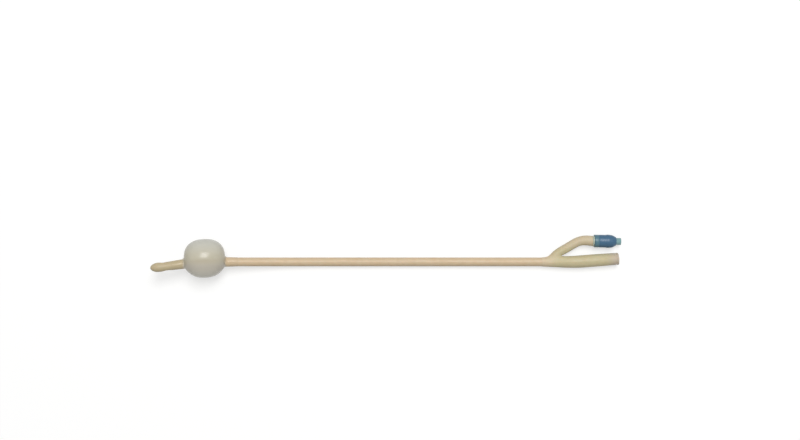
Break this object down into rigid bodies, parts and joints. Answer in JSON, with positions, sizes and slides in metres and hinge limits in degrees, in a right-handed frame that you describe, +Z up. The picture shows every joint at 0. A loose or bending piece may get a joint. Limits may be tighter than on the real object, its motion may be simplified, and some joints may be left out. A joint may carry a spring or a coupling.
{
  "type": "foley urinary catheter",
  "caption": "Latex urinary catheter with a retention balloon near its round tip, a drainage funnel and a side arm with a spring-loaded inflation valve.",
  "frame": {"origin": "on the surface that the catheter lies on, under the middle of its bounding box", "axes": "+X along the shaft from the balloon towards the drainage funnel, +Y towards the inflation arm, +Z up from the surface"},
  "size_m": [0.4238, 0.0386, 0.0346],
  "materials": {
    "coated_latex": "satin",
    "balloon_latex": "smooth",
    "moulded_latex": "satin",
    "pale_plastic": "satin",
    "teal_plastic": "smooth",
    "blue_sleeve_plastic": "satin",
    "white_plastic": "satin",
    "seal_rubber": "matte",
    "spring_steel": "polished wire"
  },
  "bodies": {
    "catheter": {"shaft": "coated_latex", "balloon": "balloon_latex", "bifurcation": "moulded_latex", "valve_tail": "pale_plastic", "colour_sleeve": "blue_sleeve_plastic", "valve_housing": "teal_plastic", "valve_spring": "spring_steel"},
    "poppet": {"valve_stem": "white_plastic", "valve_seal": "seal_rubber"}
  },
  "joints": [
    {"name": "poppet_slide", "type": "slide", "parent": "catheter", "child": "poppet", "axis": [-0.9998, 0.0201, 0], "range_m": [0, 0.0015], "stiffness_N_per_m": 400, "springref_m": -0.0005, "deforming": ["valve_spring"]}
  ]
}
